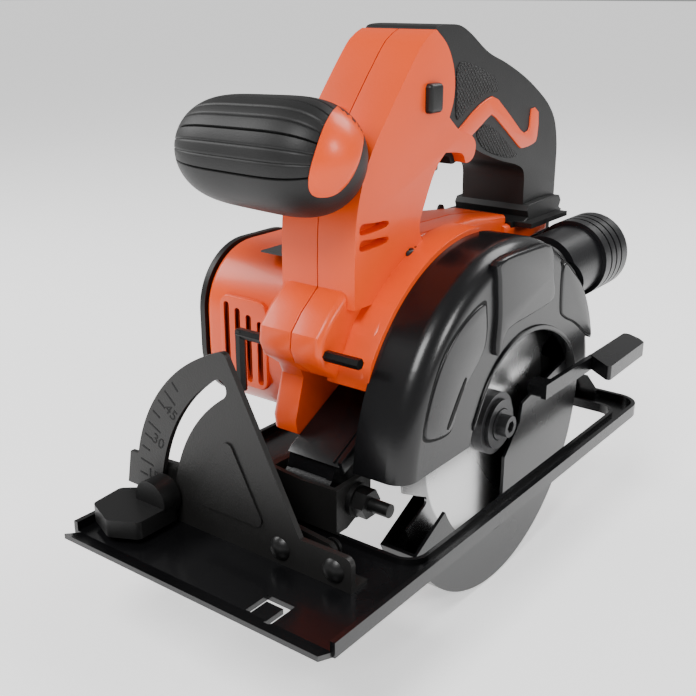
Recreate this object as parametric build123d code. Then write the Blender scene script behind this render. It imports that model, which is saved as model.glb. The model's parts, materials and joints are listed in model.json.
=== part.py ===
from build123d import *
import math
import os

# A cordless circular saw for 140 mm blades, blade on the +X side, cutting towards -Y.
# The frame: X = 0 is the blade's middle plane, Y = 0 is under the arbor, Z = 0 is the
# underside of the shoe. All sizes are in millimetres.

# ---------------------------------------------------------------- driving dimensions
ARBOR_Z = 27.0            # arbor height over the shoe's underside at full depth
BLADE_R = 70.0
BLADE_T = 1.2
BORE_R = 5.0
TEETH = 12
TOOTH_DEG = 202.6         # direction of one tooth tip from +Y, seen from +X
SHEET = 2.2               # steel sheet of the shoe
SHOE_X = (-107.0, 29.0)
SHOE_Y = (-150.0, 117.0)
TOE = 8.0                 # length of the upturned front lip
RIM = 6.2                 # height of the shoe's upturned sides
COLLAR_H = 4.8            # height of the collar round the blade opening
OPEN_X = (-44.0, 20.5)    # opening in the shoe for the blade and guards
OPEN_Y = (-90.0, 100.0)
BEVEL = (-9.0, 6.5)       # bevel hinge in X and Z, an axis along Y
BEVEL_PIN_R = 2.5
QUAD_Y = -119.0           # front face of the bevel quadrant
QUAD_T = 2.5
SLOT_R = 74.5             # arc slot's radius about the bevel hinge
SLOT_DEG = (2.5, 55.5)    # the arc slot's ends, above -X
LOCK_DEG = 6.0            # bevel clamp bolt's direction, above -X, at zero bevel
BOLT_R = 3.0
DEPTH = (-80.5, 16.5)     # depth hinge in Y and Z, an axis along X
DEPTH_PIN_R = 4.0
DEPTH_TRAVEL = 25.0       # degrees from full depth to the shallowest cut
STRUT_R = 115.0           # depth strut's slot radius about the depth hinge
STRUT_DEG = 12.0          # depth clamp bolt's direction above +Y at full depth
STRUT_X = (-26.4, -24.2)
MOTOR = (-20.5, 62.5)     # motor axis in Y and Z, parallel to X
LOWER_R = 77.7            # lower guard's outer radius
UPPER_R = 85.0            # upper guard's outer radius
UPPER_X = (-22.0, 12.0)
UPPER_STEP = (-12.4, 60.0)  # left of this X the upper guard narrows to this radius
UPPER_T = 2.2
BODY_X = (-60.0, -24.0)   # clamshell's two side faces
BODY_LOW_X = -27.0        # its right face below the handle, clear of the depth strut
BODY_LOW_Z = 108.5
SEAM_X = -42.0            # plane where the clamshell halves meet
WALL = 2.5
FIT = 0.05                # radial clearance of a running fit
PORT = (-4.5, 84.0)       # dust port's axis in X and Z, along Y
PORT_Y = (56.0, 112.0)
PORT_R = 19.5
GRIP = (-65.0, -76.0, 151.0)   # middle of the front grip
ARBOR = (0.0, ARBOR_Z)

os.makedirs("parts", exist_ok=True)


# ---------------------------------------------------------------- helpers
def save(node, *solids):
    """Write one node; several solids go into one file as a compound."""
    shape = solids[0] if len(solids) == 1 else Compound(children=list(solids))
    export_step(shape, f"parts/{node}.step")


def box(x, y, z):
    """A block between pairs of coordinates."""
    size = Box(x[1] - x[0], y[1] - y[0], z[1] - z[0])
    return Pos((x[0] + x[1]) / 2, (y[0] + y[1]) / 2, (z[0] + z[1]) / 2) * size


def rod_x(radius, x, centre):
    """A cylinder along X about a centre in Y and Z."""
    body = Rot(0, 90, 0) * Cylinder(radius, x[1] - x[0])
    return Pos((x[0] + x[1]) / 2, centre[0], centre[1]) * body


def rod_y(radius, y, centre):
    """A cylinder along Y about a centre in X and Z."""
    body = Rot(90, 0, 0) * Cylinder(radius, y[1] - y[0])
    return Pos(centre[0], (y[0] + y[1]) / 2, centre[1]) * body


def tube_x(outer, inner, x, centre):
    """A ring or tube along X."""
    return rod_x(outer, x, centre) - rod_x(inner, (x[0] - 1, x[1] + 1), centre)


def side_plate(face, x):
    """Extrude a face drawn in Y and Z between two X coordinates."""
    return extrude(Plane.YZ.offset(x[0]) * face, x[1] - x[0])


def front_plate(face, y):
    """Extrude a face drawn in X and Z between two Y coordinates."""
    return extrude(Plane.XZ.offset(-y[1]) * face, y[1] - y[0])


def hex_x(across, x, centre):
    """A hexagonal prism along X."""
    return side_plate(Pos(*centre) * RegularPolygon(across / math.sqrt(3), 6), x)


def outline(*points):
    """A closed straight-sided face."""
    return make_face(Polyline(*points, close=True))


def rounded(face, radius):
    """The face with every corner rounded."""
    return fillet(face.vertices(), radius)


def polar(radius, degrees, centre=(0.0, 0.0)):
    """A point at a radius and angle about a centre."""
    a = math.radians(degrees)
    return (centre[0] + radius * math.cos(a), centre[1] + radius * math.sin(a))


def sector(radius, start, end, centre):
    """A pie slice between two directions, up to 300 degrees wide."""
    steps = 4
    rim = [polar(radius, start + (end - start) * k / steps, centre) for k in range(steps + 1)]
    return outline(centre, *rim)


def arc_slot(radius, half, start, end, centre):
    """A curved slot with round ends, about a centre."""
    ring = Pos(*centre) * (Circle(radius + half) - Circle(radius - half))
    ends = [Pos(*polar(radius, a, centre)) * Circle(half) for a in (start, end)]
    return (ring & sector(3 * radius, start, end, centre)) + ends[0] + ends[1]


def gear_face(module, teeth, phase_deg):
    """A spur gear with involute flanks; a tooth is centred on phase_deg."""
    pitch = module * teeth / 2
    base = pitch * math.cos(math.radians(20))
    tip = pitch + 0.8 * module
    root = pitch - 1.15 * module
    inv20 = math.tan(math.radians(20)) - math.radians(20)
    half_pitch = math.pi / (2 * teeth) - 0.08 / pitch

    def half_angle(radius):
        pressure = math.acos(min(base / radius, 1.0))
        return half_pitch + inv20 - (math.tan(pressure) - pressure)

    radii = [root, max(root + 0.01, base), pitch, tip]
    points = []
    for k in range(teeth):
        centre = math.radians(phase_deg) + 2 * math.pi * k / teeth
        flank = [(r, half_angle(r)) for r in radii]
        points += [(r * math.cos(centre - h), r * math.sin(centre - h)) for r, h in flank]
        points += [(r * math.cos(centre + h), r * math.sin(centre + h)) for r, h in flank[::-1]]
    return outline(*points)


def gear_x(module, teeth, phase_deg, x, centre):
    """A spur gear along X."""
    return side_plate(Pos(*centre) * gear_face(module, teeth, phase_deg), x)


# ---------------------------------------------------------------- shoe and its hinges
def shoe():
    """Stamped base plate: upturned sides, rear and toe, blade opening, fence slot."""
    x0, x1 = SHOE_X
    y0, y1 = SHOE_Y
    plan = Pos((x0 + x1) / 2, (y0 + y1) / 2) * Rectangle(x1 - x0, y1 - y0)
    plan = fillet([v for v in plan.vertices() if v.Y > 0], 12)
    tray = extrude(plan, RIM) - Pos(0, 0, SHEET) * extrude(offset(plan, -SHEET), RIM)
    tray -= box((x0 + SHEET, x1 - SHEET), (y0 - 1, y0 + 4), (SHEET, RIM + 1))
    lip = outline((y0, 0), (y0 - TOE, 3), (y0 - TOE, 3 + SHEET), (y0, SHEET))
    tray += side_plate(lip, (x0 + 4, x1 - 1))
    middle = Pos((OPEN_X[0] + OPEN_X[1]) / 2, (OPEN_Y[0] + OPEN_Y[1]) / 2)
    wide, long = OPEN_X[1] - OPEN_X[0], OPEN_Y[1] - OPEN_Y[0]
    collar = 1.8
    tray += extrude(middle * RectangleRounded(wide + 2 * collar, long + 2 * collar, 9.8), COLLAR_H)
    tray -= extrude(middle * RectangleRounded(wide, long, 8), 8)
    # U-shaped slot for the clip of a rip fence
    tray -= box((-12, 1), (-141, -137.6), (-1, 4))
    tray -= box((-12, -9.5), (-149.5, -137.6), (-1, 4))
    tray -= box((-1.5, 1), (-152, -137.6), (-1, 4))
    return tray


def bevel_quadrant():
    """Upright bevel quadrant: arc slot, embossed rib, scale marks, foot."""
    hub, radius = (-25.2, 10.0), 77.2
    apex, left = polar(radius, 107, hub), polar(radius, 175.5, hub)
    edge = Polyline(left, (-94.0, SHEET), (12.5, SHEET), (12.5, 16.5), (-12.0, 16.5), apex)
    face = make_face(edge + ThreePointArc(apex, polar(radius, 141, hub), left))
    face = fillet([v for v in face.vertices() if v.Y > 15 and v.X > 10], 3.5)
    face = fillet([v for v in face.vertices() if v.Y > 80], 3)
    face -= arc_slot(SLOT_R, 4.0, 180 - SLOT_DEG[1], 180 - SLOT_DEG[0], BEVEL)
    plate = front_plate(face, (QUAD_Y, QUAD_Y + QUAD_T))
    plate += box((-94, 12.5), (QUAD_Y + QUAD_T, QUAD_Y + 10), (SHEET, SHEET + 1.6))
    rib = rounded(outline((-47, 49), (-28.5, 15), (-66, 15), (-57, 36)), 3)
    plate += front_plate(rib, (QUAD_Y - 0.8, QUAD_Y))
    for step in range(0, 51, 5):
        degrees = 180 - (step - 3.5)
        length = 7.5 if step % 15 == 0 else 4.5
        mid = polar(radius - 2 - length / 2, degrees, hub)
        mark = Pos(*mid) * Rot(0, 0, degrees) * Rectangle(length, 0.9)
        plate -= front_plate(mark, (QUAD_Y - 1, QUAD_Y + 0.4))
    rivets = [rod_y(3.0, (QUAD_Y - 1, QUAD_Y + QUAD_T + 1), (x, 9.0)) for x in RIVET_X]
    return plate - rivets[0] - rivets[1]


RIVET_X = (-22.0, 4.0)


def quadrant_rivets():
    """Domed rivets that hold the quadrant to the reinforcing ear behind it."""
    heads = []
    for x in RIVET_X:
        ball = Pos(x, QUAD_Y + 3.6, 9.0) * Sphere(6.2)
        dome = ball & rod_y(5.0, (QUAD_Y - 3, QUAD_Y), (x, 9.0))
        shank = rod_y(3.0, (QUAD_Y, QUAD_Y + QUAD_T), (x, 9.0))
        heads.append(dome + shank)
    return heads


def rear_bevel_ear():
    """Upright ear at the rear of the shoe that carries the rear bevel hinge pin."""
    face = outline((-24, SHEET), (6, SHEET), (6, 8), (0, 15), (-18, 15), (-24, 8))
    plate = front_plate(face, (108, 110.5))
    plate += box((-24, 6), (110.5, 114.5), (SHEET, SHEET + 2))
    return plate


def bevel_hinge_pins():
    """Two bevel hinge pins along Y, one behind the quadrant and one at the rear."""
    front = rod_y(BEVEL_PIN_R, (QUAD_Y + QUAD_T, -103.0), BEVEL)
    front += rod_y(4.0, (-103.0, -101.6), BEVEL)
    rear = rod_y(BEVEL_PIN_R, (104.0, 108.0), BEVEL) + rod_y(4.0, (102.6, 104.0), BEVEL)
    return front, rear


# ---------------------------------------------------------------- bevel frame
CLAMP = (polar(SLOT_R, 180 - LOCK_DEG, BEVEL)[0], polar(SLOT_R, 180 - LOCK_DEG, BEVEL)[1])
ARM_Y = (QUAD_Y + QUAD_T + 0.4, QUAD_Y + QUAD_T + 2.6)
BRACKET_X = (-52.0, -14.5)
BRACKET_Y = -93.0


def hinge_ear(y, x_from, top):
    """Sheet ear that reaches sideways to the bevel hinge and is round about it."""
    plate = outline((x_from, 4.0), (BEVEL[0], 2.6), (BEVEL[0], 10.4), (x_from, top))
    body = front_plate(plate, y) + rod_y(3.9, y, BEVEL)
    return body - rod_y(BEVEL_PIN_R + FIT, (y[0] - 1, y[1] + 1), BEVEL)


def bevel_bracket():
    """Bent sheet bracket: front wall, two cheeks for the depth hinge, and a clamp arm."""
    xl, xr = BRACKET_X
    yf, t = BRACKET_Y, 2.5
    low = COLLAR_H + 0.8
    front = outline((xl, 6), (xr, low), (xr, 25.2), (-33, 24.6), (xl, 26.4))
    body = front_plate(front, (yf, yf + 2))
    cheek = outline((yf, low), (-86, low), (-70, 12.4), (-70, 22), (-74, 25.2), (yf, 25.2))
    body += side_plate(cheek, (xr - t, xr)) + side_plate(cheek, (xl, xl + t))
    body += side_plate(outline((ARM_Y[0], 8), (yf, 8), (yf, 25), (ARM_Y[0], 26)), (xl, xl + t))
    arm = outline((-112, 9), (xl + t, 8), (xl + t, 26), (-80, 26.5), (-109, 24.5))
    body += front_plate(arm, ARM_Y)
    ear_y = (-106.6, -104.1)
    body += hinge_ear(ear_y, xl + 0.5, 15)
    body -= rod_y(BOLT_R + 0.02, (ARM_Y[0] - 1, ARM_Y[1] + 1), CLAMP)
    return body - rod_x(DEPTH_PIN_R + 0.02, (xl - 5, xr + 5), DEPTH)


def rear_bracket():
    """Rear bevel bracket with the slotted depth strut, behind the upper guard."""
    x0, x1 = STRUT_X
    body = hinge_ear((105.0, 107.4), x1, 15)
    band = arc_slot(STRUT_R, 6.0, 7, STRUT_DEG + DEPTH_TRAVEL + 3, DEPTH)
    strut = band + outline((29, 8), (98, 5.6), (107.4, 5.6), (107.4, 15.0), (44, 22), (36, 32))
    strut -= arc_slot(STRUT_R, 2.7, STRUT_DEG, STRUT_DEG + DEPTH_TRAVEL, DEPTH)
    return body + side_plate(strut, (x0, x1))


def depth_hinge_bolt():
    """Depth hinge bolt along X with its hexagon head, washer and lock nut."""
    xl, xr = BRACKET_X
    shank = rod_x(DEPTH_PIN_R, (xl, xr + 4.5), DEPTH)
    tail = rod_x(2.9, (xr + 4.5, 2.8), DEPTH)
    head = hex_x(12, (xl - 4.5, xl), DEPTH)
    washer = rod_x(7.2, (xr, xr + 2.3), DEPTH)
    return shank + tail + head + washer + hex_x(11, (xr + 2.3, xr + 8), DEPTH)


def bevel_clamp_bolt():
    """Carriage bolt of the bevel clamp, from behind through the arc slot."""
    back = ARM_Y[1]
    return rod_y(BOLT_R, (QUAD_Y - 9, back), CLAMP) + rod_y(6.0, (back, back + 1.6), CLAMP)


def bevel_lever():
    """Clamp lever in front of the quadrant: hub, arm and a broad thumb paddle."""
    x, z = CLAMP
    hub = rod_y(8.5, (QUAD_Y - 10.5, QUAD_Y - 1.2), CLAMP)
    front = ((x - 21.2, -127), (x - 19.5, -143), (x - 4, -149))
    plan = outline(*front, (x + 8, -143), (x + 8, -121), (x - 14, -121))
    paddle = extrude(Plane.XY.offset(z - 9.2) * rounded(plan, 3), 7.6)
    return hub + paddle - rod_y(BOLT_R + FIT, (QUAD_Y - 9.1, QUAD_Y + 1), CLAMP)


# ---------------------------------------------------------------- guards and front arm
LOW_EDGE = ARBOR_Z + 3.5


def upper_guard():
    """Fixed blade guard: rounded shell open at the bottom, arch cut for the arbor."""
    x0, x1 = UPPER_X
    t = UPPER_T
    keep = outline((-90, LOW_EDGE), (90, LOW_EDGE), (90, 130), (-90, 130))
    step, small = UPPER_STEP
    outer = side_plate((Pos(*ARBOR) * Circle(UPPER_R)) & keep, (step, x1))
    outer = fillet([e for e in outer.edges().filter_by(GeomType.CIRCLE) if e.center().X > 0], 9)
    outer += side_plate((Pos(*ARBOR) * Circle(small)) & keep, (x0, step))
    room = side_plate(Pos(*ARBOR) * Circle(UPPER_R - t), (step + t, x1 - t))
    room = fillet([e for e in room.edges().filter_by(GeomType.CIRCLE) if e.center().X > 5], 7)
    room += side_plate(Pos(*ARBOR) * Circle(small - t), (x0 + t, step + t))
    shell = outer - room
    rise = ARBOR_Z
    arc = Spline((-33, rise + 13), (-14, rise + 37), (11, rise + 43), (44, rise + 34), (59, rise + 21))
    sides = Polyline((59, rise + 21), (66, rise + 4), (66, 0), (-36, 0), (-36, rise + 4), (-33, rise + 13))
    shell -= side_plate(make_face(arc + sides), (x1 - 10, x1 + 1))
    pad = rounded(outline((-19.6, 107), (26, 105.5), (36, 71.3), (-9.2, 76.3)), 3)
    shell += side_plate(pad, (x1 - 1.0, x1 + 1.6))
    shell -= rod_x(NOSE_CLEAR_R, (x0 - 1, x0 + t + 1), ARBOR)
    inlet = rod_y(PORT_R - 5.6, (PORT_Y[0] - 4, 100), PORT) & box((step + t, 40), (0, 120), (0, 130))
    return shell - inlet


NOSE_CLEAR_R = 26.0


def dust_port():
    """Stepped dust port behind the upper guard, with grooves near its mouth."""
    y0, y1 = PORT_Y
    body = rod_y(PORT_R - 2.2, (y0, y1 - 26), PORT) + rod_y(PORT_R, (y1 - 26, y1), PORT)
    for k in range(3):
        ring = rod_y(PORT_R + 1, (y1 - 8 - 6 * k, y1 - 6.6 - 6 * k), PORT)
        body -= ring - rod_y(PORT_R - 0.9, (y0, y1), PORT)
    body -= rod_y(PORT_R - 5.6, (y0 - 1, y1 + 1), PORT) + rod_y(PORT_R - 4.6, (y1 - 30, y1 + 1), PORT)
    # closed where it reaches past the guard's left wall
    body += rod_y(PORT_R - 2.2, (y0, y0 + 24), PORT) & box((-40, UPPER_STEP[0] + 2), (0, 120), (0, 130))
    # cut back so that it sits on the guard's rim
    return body - rod_x(UPPER_R, (-40, 40), ARBOR)


def lower_guard():
    """Retracting guard: far wall, rim and near wall about the arbor."""
    t = 1.5
    r = LOWER_R
    x0, x1 = -10.0, 8.0
    disc = Pos(*ARBOR) * Circle(r)
    far = (disc & sector(200, 207, 372, ARBOR)) + Pos(*ARBOR) * Circle(17)
    ring = (disc - Pos(*ARBOR) * Circle(r - t)) & sector(200, 207, 372, ARBOR)
    band = (disc - Pos(*ARBOR) * Circle(r - 25)) & sector(200, 207, 300, ARBOR)
    near = disc & outline((4, -60), (4, 9), (17, 22), (22, 45), (100, 45), (100, -60))
    near &= sector(200, 262, 372, ARBOR)
    body = side_plate(far, (x0, x0 + t)) + side_plate(ring, (x0, x1))
    body += side_plate(band, (x1 - t, x1)) + side_plate(near, (x1 - t, x1))
    return body - rod_x(NOSE_R + FIT, (x0 - 1, x0 + t + 1), ARBOR)


def guard_lever():
    """Retracting lever: foot on the near wall, arm past the fixed guard, thumb paddle."""
    foot = side_plate(rounded(outline((23, 33.8), (33, 33.8), (33, 41), (23, 41)), 2), (8.0, 15.0))
    arm = side_plate(outline((23, 33.8), (76, 33.8), (76, 40.5), (33, 41), (23, 41)), (15.0, 17.5))
    plan = outline((15.8, 74), (31, 62), (30, 108), (26, 112), (19, 116), (15.8, 116))
    paddle = extrude(Plane.XY.offset(33.8) * rounded(plan, 1.5), 7.2)
    hollow = outline((18, 80), (28.5, 70), (28, 106), (18, 113))
    return foot + arm + paddle - extrude(Plane.XY.offset(33) * hollow, 5.8)


def ramp(y):
    """Height of the front arm's sloping top face."""
    return ARBOR_Z + 1.2 + math.tan(math.radians(27.3)) * (y + 90)


ARM_X = (-46.0, -22.3)


def front_arm():
    """Cast arm from the gear case down to the depth hinge, with a curved nose."""
    x0, x1 = ARM_X
    y0, y1, y2 = -83.5, -36.0, -17.0
    slab = outline((y0, ramp(y0)), (y1, ramp(y1)), (y1, ramp(y1) - 4), (-79, ramp(y0) - 4))
    body = side_plate(slab, (x0, x1))
    wing = outline((y1, ramp(y1)), (y2, ramp(y2)), (y2, ramp(y2) - 4), (y1, ramp(y1) - 4))
    body += side_plate(wing, (BODY_LOW_X + 0.2, x1))
    cheek = Pos(*DEPTH) * Circle(9.4)
    cheek += outline((-88, 19), (y0, ramp(y0) - 1), (-40, 45), (-40, 38), (-72, 14))
    body += side_plate(cheek, (x0, x0 + 3)) + side_plate(cheek, (x1 - 3, x1))
    nose = (Pos(*DEPTH) * (Circle(9.4) - Circle(6.4))) & outline((-95, 16), (-80, 16), (-80, 40), (-95, 40))
    nose += outline((-84.0, 22.4), (-85.8, 24.0), (y0, ramp(y0)), (-80.0, ramp(y0) - 2))
    body += side_plate(nose, (x0, x1))
    return body - rod_x(DEPTH_PIN_R + FIT, (x0 - 5, x1 + 5), DEPTH)


# ---------------------------------------------------------------- blade, spindle and gears
PINION = (0.8, 12)            # module and teeth
WHEEL = (0.8, 36)
SMALL = (1.0, 16)
FINAL = (1.0, 29)
C1 = PINION[0] * (PINION[1] + WHEEL[1]) / 2
C2 = SMALL[0] * (SMALL[1] + FINAL[1]) / 2
NOSE_R = 12.0                 # gear case nose that the lower guard turns on


def layshaft_centre():
    """Where both gear distances meet, between the motor axis and the arbor."""
    d = math.dist(ARBOR, MOTOR)
    along = (C2 ** 2 - C1 ** 2 + d ** 2) / (2 * d)
    side = math.sqrt(C2 ** 2 - along ** 2)
    u = ((MOTOR[0] - ARBOR[0]) / d, (MOTOR[1] - ARBOR[1]) / d)
    return (ARBOR[0] + along * u[0] - side * u[1], ARBOR[1] + along * u[1] + side * u[0])


LAY = layshaft_centre()
TO_LAY = math.degrees(math.atan2(LAY[1] - ARBOR[1], LAY[0] - ARBOR[0]))
TO_MOTOR = math.degrees(math.atan2(MOTOR[1] - LAY[1], MOTOR[0] - LAY[0]))


def blade():
    """Saw blade: disc with long-backed teeth, rounded gullets and the arbor bore."""
    r, pitch = BLADE_R, 360 / TEETH
    edge = None
    for k in range(TEETH):
        a = TOOTH_DEG + k * pitch
        root, tip = polar(r - 14, a), polar(r, a)
        heel, toe = polar(r - 1.5, a + 14.8), polar(r - 15, a + 25.0)
        land = ThreePointArc(tip, polar(r - 0.6, a + 7.4), heel)
        gullet = ThreePointArc(toe, polar(r - 16.4, a + 27.8), polar(r - 14, a + pitch))
        tooth = Line(root, tip) + land + Line(heel, toe) + gullet
        edge = tooth if edge is None else edge + tooth
    disc = make_face(edge) - Circle(BORE_R + 0.02)
    return side_plate(Pos(*ARBOR) * disc, (-BLADE_T / 2, BLADE_T / 2))


def spindle():
    """Output spindle with its bearing seats, gear seat and blade pilot."""
    body = rod_x(5.0, (-50.0, -28.5), ARBOR) + rod_x(6.0, (-28.5, -6.6), ARBOR)
    return body + rod_x(BORE_R, (-6.6, 0.5), ARBOR) - rod_x(3.0, (-20, 2), ARBOR)


def blade_clamp():
    """Inner flange, outer flange and the socket bolt with its serrated rim."""
    inner = tube_x(14.0, BORE_R + 0.02, (-6.6, -BLADE_T / 2), ARBOR)
    outer = rod_x(14.5, (BLADE_T / 2, 5.2), ARBOR) + rod_x(11.5, (5.2, 7.2), ARBOR)
    outer -= rod_x(3.02, (0, 8), ARBOR) + rod_x(7.6, (6.0, 8), ARBOR)
    bolt = rod_x(2.98, (-18, 6.0), ARBOR) + rod_x(7.2, (6.0, 7.6), ARBOR)
    bolt += rod_x(5.0, (7.6, 12.3), ARBOR)
    return inner, outer, bolt - hex_x(5.0, (8.6, 13), ARBOR)


def spindle_gear():
    return gear_x(*FINAL, TO_LAY, (-37.6, -32.2), ARBOR) - rod_x(5.0, (-43, -28), ARBOR)


def layshaft():
    """Layshaft with its large and small gear in one piece."""
    body = gear_x(*SMALL, TO_LAY + 180 + 180 / SMALL[1], (-38.2, -32.0), LAY)
    body += gear_x(*WHEEL, TO_MOTOR, (-44.0, -39.0), LAY)
    return body + rod_x(3.0, (-50.4, -30.3), LAY)


def rotor():
    """Motor shaft with its pinion."""
    body = gear_x(*PINION, TO_MOTOR + 180 + 180 / PINION[1], (-45.0, -38.0), MOTOR)
    return body + rod_x(3.0, (-114.0, -45.0), MOTOR)


def rotor_core():
    """Laminated rotor core with five winding slots."""
    core = tube_x(15.5, 3.0, (-93.0, -69.0), MOTOR)
    for k in range(5):
        core -= rod_x(2.2, (-94, -68), polar(15.5, 72 * k, MOTOR))
    return core


def commutator():
    return tube_x(8.5, 3.0, (-103.0, -96.5), MOTOR)


def fan():
    """Cooling fan on the rotor shaft."""
    body = rod_x(21.0, (-60.0, -58.8), MOTOR) + rod_x(6.0, (-60.0, -55.0), MOTOR)
    for k in range(11):
        vane = Pos(*MOTOR) * Rot(0, 0, 360 * k / 11) * Pos(13, 0) * Rot(0, 0, 18) * Rectangle(13, 1.2)
        body += side_plate(vane, (-59.5, -55.5))
    return body - rod_x(3.0, (-62, -54), MOTOR)


# ---------------------------------------------------------------- gear case and motor
def case_hull(grow):
    """Outline round the gear train: a circle about each axis, joined by webs."""
    a, b, c = (ARBOR, 16.2 + grow), (LAY, 16.2 + grow), (MOTOR, 8.5 + grow)
    face = Pos(*ARBOR) * Circle(a[1]) + Pos(*LAY) * Circle(b[1]) + Pos(*MOTOR) * Circle(c[1])
    for (p, rp), (q, rq) in ((a, b), (b, c)):
        d = math.dist(p, q)
        n = (-(q[1] - p[1]) / d, (q[0] - p[0]) / d)
        s = 0.96
        face += outline(
            (p[0] + n[0] * rp * s, p[1] + n[1] * rp * s), (q[0] + n[0] * rq * s, q[1] + n[1] * rq * s),
            (q[0] - n[0] * rq * s, q[1] - n[1] * rq * s), (p[0] - n[0] * rp * s, p[1] - n[1] * rp * s),
        )
    return face


CASE_X = (-50.0, -29.7)


def gear_case():
    """Die-cast gear case: cup open towards the motor, with a bearing nose."""
    outer = side_plate(case_hull(2.0), CASE_X) + rod_x(NOSE_R, (CASE_X[1], -8.5), ARBOR)
    outer += rod_x(23.0, (CASE_X[1], -22.2), ARBOR)
    cavity = side_plate(case_hull(0), (-52.0, -31.6)) + rod_x(9.5, (-20.0, -8), ARBOR)
    body = outer - cavity - rod_x(6.4, (-40, -5), ARBOR)
    return body - rod_x(3.0 + FIT, (-33, -30.1), LAY)


def gear_cover():
    """Plate that closes the gear case and carries the motor's front bearing."""
    body = side_plate(case_hull(2.0), (-52.0, -50.0)) + rod_x(8.0, (-54.5, -52.0), MOTOR)
    body -= rod_x(5.4, (-53, -49), ARBOR) + rod_x(5.0, (-56, -49), MOTOR)
    return body - rod_x(3.0 + FIT, (-50.6, -49), LAY)


def bearings():
    """Ball bearings as plain rings with running fits on their shafts."""
    return {
        "spindle_front_bearing": tube_x(9.5, 6.0 + FIT, (-20.0, -12.0), ARBOR),
        "spindle_rear_bearing": tube_x(8.0, 5.0 + FIT, (-49.5, -45.5), ARBOR),
        "motor_front_bearing": tube_x(5.0, 3.0 + FIT, (-54.0, -50.2), MOTOR),
        "motor_rear_bearing": tube_x(6.5, 3.0 + FIT, (-112.5, -108.5), MOTOR),
    }


def motor_can():
    """Motor can, hollow for the rotor, with a seat for the rear bearing."""
    body = rod_x(22.0, (-108.0, -62.5), MOTOR) + rod_x(8.5, (-113.5, -108.0), MOTOR)
    body -= rod_x(19.5, (-105.5, -65.0), MOTOR) + rod_x(6.5, (-112.5, -108.0), MOTOR)
    return body - rod_x(3.5, (-114.5, -60), MOTOR)


def motor_magnets():
    """Two magnet shells inside the can."""
    ring = Pos(*MOTOR) * (Circle(19.5) - Circle(16.3))
    return [side_plate(ring & sector(60, a - 62, a + 62, MOTOR), (-95, -67)) for a in (0, 180)]


def brush_holder():
    """Brush ring round the commutator with two brush boxes."""
    body = tube_x(19.5, 12.0, (-104.5, -101.5), MOTOR)
    for k in (0, 1):
        sign = 1 - 2 * k
        z = (MOTOR[1] + sign * 9.0, MOTOR[1] + sign * 19.0)
        body += box((-102.0, -98.5), (MOTOR[0] - 3, MOTOR[0] + 3), (min(z), max(z)))
    return body


# ---------------------------------------------------------------- clamshell housing
UNDERSIDE_Z = 104.7           # underside of the rear housing, on the battery dock


def body_face():
    """Side outline of the body: neck, top, handle loop, rear housing and gear belly."""
    top = ThreePointArc((-68, 130), (-61, 149), (-47, 167))
    top += ThreePointArc((-47, 167), (-28, 188.5), (-4, 198.5))
    top += ThreePointArc((-4, 198.5), (14, 194), (30, 186)) + Polyline((30, 186), (65, 174), (92, 159))
    back = ThreePointArc((92, 159), (101, 149), (104, 139))
    low = Polyline((104, 139), (104, UNDERSIDE_Z), (58, UNDERSIDE_Z), (47, 70), (42, 32), (21, 30))
    belly = ThreePointArc((21, 30), (0, ARBOR_Z - 21.2), (-19.5, 18.6))
    front = ((-78, 34.5), (-80, 41), (-75, 62), (-87, 70), (-87, 83), (-71, 88), (-68, 130))
    nose = Polyline((-19.5, 18.6), (-34, 26), (-60, 31), *front)
    return make_face(top + back + low + belly + nose)


def loop_face():
    """The hand hole between neck, handle, rear post and rear housing."""
    front = ((-20, 113), (-25, 120), (-14, 140), (-7, 146.5), (8, 146.5), (14, 141))
    return rounded(outline(*front, (22, 144), (71, 130), (71, 112)), 2.0)


def body_block(face, grow):
    """The face extruded over the body's width, stepped in on its low right side."""
    x0, x1 = BODY_X[0] + grow, BODY_X[1] - grow
    step = box((BODY_LOW_X - grow, 0), (-100, 120), (-10, BODY_LOW_Z + grow))
    # the key boss is only as wide as the right-hand half
    beside_boss = box((-70, BOSS_LEFT_X + grow), (-100, BOSS_ROOT_Y + grow), (62 - grow, 90 + grow))
    return side_plate(face, (x0, x1)) - step - beside_boss


BOSS_LEFT_X = -44.0
BOSS_ROOT_Y = -75.0
BARREL_Y = (-61.0, 19.0)
BARREL_Z = (25.0, 102.0)
BARREL_X = (-116.0, -59.0)
BARREL_CORNER = 30.0


def barrel(shrink, x):
    """The motor barrel's rounded section, as a block along X."""
    y, z = BARREL_Y, BARREL_Z
    section = RectangleRounded(y[1] - y[0] - 2 * shrink, z[1] - z[0] - 2 * shrink, BARREL_CORNER - shrink)
    return side_plate(Pos((y[0] + y[1]) / 2, (z[0] + z[1]) / 2) * section, x)


KEY_ACROSS = 4.0
KEY = (-83.0, 76.5)           # hex key's long arm in Y and Z, along X
TRIGGER_HINGE = (-5.0, 151.0)
LOCK_OFF = (-17.0, 170.0)
LOCK_Y = (-34.0, -12.0)       # spindle lock button
LOCK_Z = (97.0, 110.0)
DEPTH_CLAMP = polar(STRUT_R, STRUT_DEG, DEPTH)


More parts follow.
